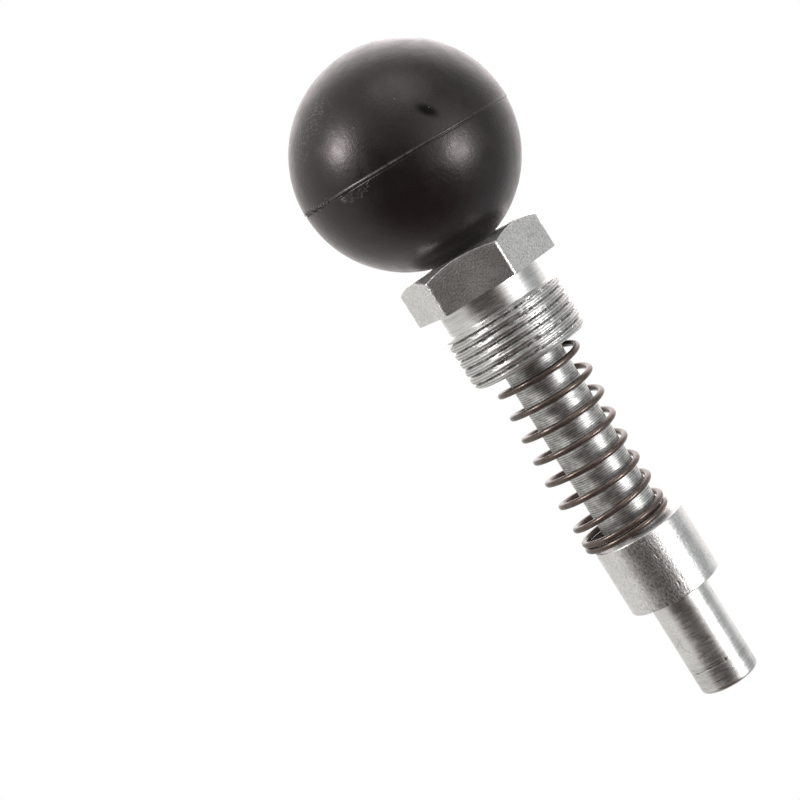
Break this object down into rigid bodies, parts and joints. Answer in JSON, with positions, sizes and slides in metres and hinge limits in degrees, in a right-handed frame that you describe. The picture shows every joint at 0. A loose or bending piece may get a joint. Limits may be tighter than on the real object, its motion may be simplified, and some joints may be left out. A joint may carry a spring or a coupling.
{
  "type": "spring-loaded pull pin",
  "caption": "Screw-in locking plunger: a ball knob draws a round collared pin up through a hexagon-headed bushing against a coil spring.",
  "frame": {"origin": "on the pin's axis, in the plane of the hexagon's underside, which stops the bushing when it is screwed in", "axes": "+Z along the pin towards the ball knob; X and Y across it, with two of the hexagon's flats facing +Y and -Y"},
  "size_m": [0.045, 0.045, 0.1433],
  "materials": {
    "zinc_plated_bushing": "zinc plated, satin, with fine turning marks",
    "turned_pin_steel": "turned and zinc plated, with fine rings round the rod and lengthwise drawing marks on the collar",
    "oil_tempered_wire": "dark brown oil-tempered spring wire, satin",
    "insert_steel": "plain turned steel, hidden in the knob",
    "knob_black": "black moulded plastic, satin, with a seam and light scuffs"
  },
  "bodies": {
    "bushing_body": {"bushing": "zinc_plated_bushing"},
    "spring_body": {"spring": "oil_tempered_wire"},
    "plunger": {"pin": "turned_pin_steel", "knob_insert": "insert_steel", "knob": "knob_black"}
  },
  "joints": [
    {"name": "spin", "type": "hinge", "parent": "bushing_body", "child": "spring_body", "pos_m": [0, 0, 0], "axis": [0, 0, 1], "continuous": true},
    {"name": "pull", "type": "slide", "parent": "spring_body", "child": "plunger", "axis": [0, 0, 1], "range_m": [0, 0.032], "stiffness_N_per_m": 545, "springref_m": -0.012, "deforming": ["spring"]}
  ]
}
